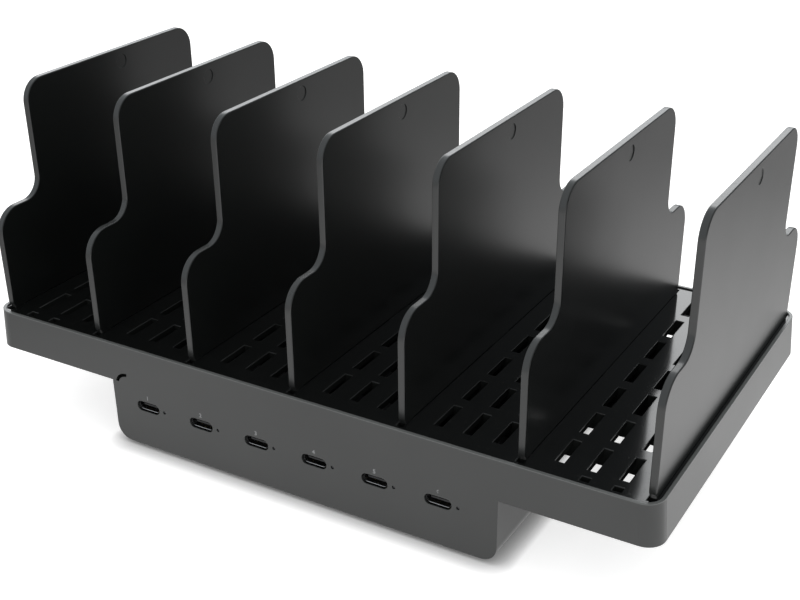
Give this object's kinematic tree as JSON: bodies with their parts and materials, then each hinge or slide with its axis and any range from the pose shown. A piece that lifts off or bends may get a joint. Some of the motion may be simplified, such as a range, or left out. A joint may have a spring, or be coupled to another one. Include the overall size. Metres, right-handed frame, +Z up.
{
  "type": "usb charging station",
  "caption": "Desktop charging station: a slotted tray with upright lift-out dividers on a low power housing with a row of USB-C ports along its front.",
  "frame": {"origin": "middle of the tray's footprint, on the surface that the rubber feet stand on", "axes": "+X to the right along the front, +Y from the front to the back, +Z up"},
  "size_m": [0.2494, 0.1382, 0.1147],
  "materials": {
    "shell_plastic": "semi-gloss black ABS",
    "divider_plastic": "gloss black ABS",
    "cover_plastic": "fine matt black ABS",
    "lid_plastic": "matt black flame-proof ABS",
    "foot_rubber": "matt black rubber",
    "screw_steel": "zinc-plated steel",
    "port_steel": "bright drawn stainless steel",
    "port_plastic": "black glass-filled nylon",
    "lens_plastic": "clear polished light pipe",
    "led_plastic": "white side-view LED body",
    "board_green": "green solder mask on FR4",
    "board_tan": "bare phenolic board",
    "chip_black": "moulded epoxy",
    "ferrite": "sintered ferrite",
    "connector_white": "natural nylon",
    "tape_yellow": "polyester tape over wound wire",
    "sleeve_dark": "dark PVC sleeve",
    "sink_aluminium": "extruded, satin",
    "choke_copper": "enamelled copper turns",
    "film_cap": "yellow epoxy box",
    "fuse_glass": "glass tube with nickel caps",
    "lead_red": "PVC-covered wire",
    "sheet_insulation": "pressed insulating paper",
    "inlet_plastic": "black moulded nylon",
    "pin_nickel": "nickel-plated brass"
  },
  "bodies": {
    "base": {"upper_shell": "shell_plastic", "inner_lid": "lid_plastic", "bottom_cover": "cover_plastic", "rubber_feet": "foot_rubber", "cover_screws": "screw_steel", "lid_screws": "screw_steel", "port_board": "board_green", "usb_c_shells": "port_steel", "usb_c_inserts": "port_plastic", "indicator_lenses": "lens_plastic", "indicator_leds": "led_plastic", "port_controllers": "chip_black", "port_inductors": "ferrite", "port_connector": "connector_white", "power_board": "board_tan", "board_screws": "screw_steel", "insulation_sheet": "sheet_insulation", "transformer_core": "ferrite", "transformer_winding": "tape_yellow", "bulk_capacitor": "sleeve_dark", "output_capacitors": "sleeve_dark", "secondary_heatsink": "sink_aluminium", "primary_heatsink": "sink_aluminium", "power_transistors": "chip_black", "bridge_rectifier": "chip_black", "emi_choke": "choke_copper", "line_capacitor": "film_cap", "fuse": "fuse_glass", "power_connector": "connector_white", "supply_leads": "lead_red", "ac_inlet": "inlet_plastic", "inlet_pins": "pin_nickel"},
    "divider_1_body": {"divider_1": "divider_plastic"},
    "divider_2_body": {"divider_2": "divider_plastic"},
    "divider_3_body": {"divider_3": "divider_plastic"},
    "divider_4_body": {"divider_4": "divider_plastic"},
    "divider_5_body": {"divider_5": "divider_plastic"},
    "divider_6_body": {"divider_6": "divider_plastic"},
    "divider_7_body": {"divider_7": "divider_plastic"}
  },
  "joints": [
    {"name": "divider_1_lift", "type": "slide", "parent": "base", "child": "divider_1_body", "axis": [0, 0, 1], "range_m": [0, 0.02]},
    {"name": "divider_2_lift", "type": "slide", "parent": "base", "child": "divider_2_body", "axis": [0, 0, 1], "range_m": [0, 0.02]},
    {"name": "divider_3_lift", "type": "slide", "parent": "base", "child": "divider_3_body", "axis": [0, 0, 1], "range_m": [0, 0.02]},
    {"name": "divider_4_lift", "type": "slide", "parent": "base", "child": "divider_4_body", "axis": [0, 0, 1], "range_m": [0, 0.02]},
    {"name": "divider_5_lift", "type": "slide", "parent": "base", "child": "divider_5_body", "axis": [0, 0, 1], "range_m": [0, 0.02]},
    {"name": "divider_6_lift", "type": "slide", "parent": "base", "child": "divider_6_body", "axis": [0, 0, 1], "range_m": [0, 0.02]},
    {"name": "divider_7_lift", "type": "slide", "parent": "base", "child": "divider_7_body", "axis": [0, 0, 1], "range_m": [0, 0.02]}
  ]
}
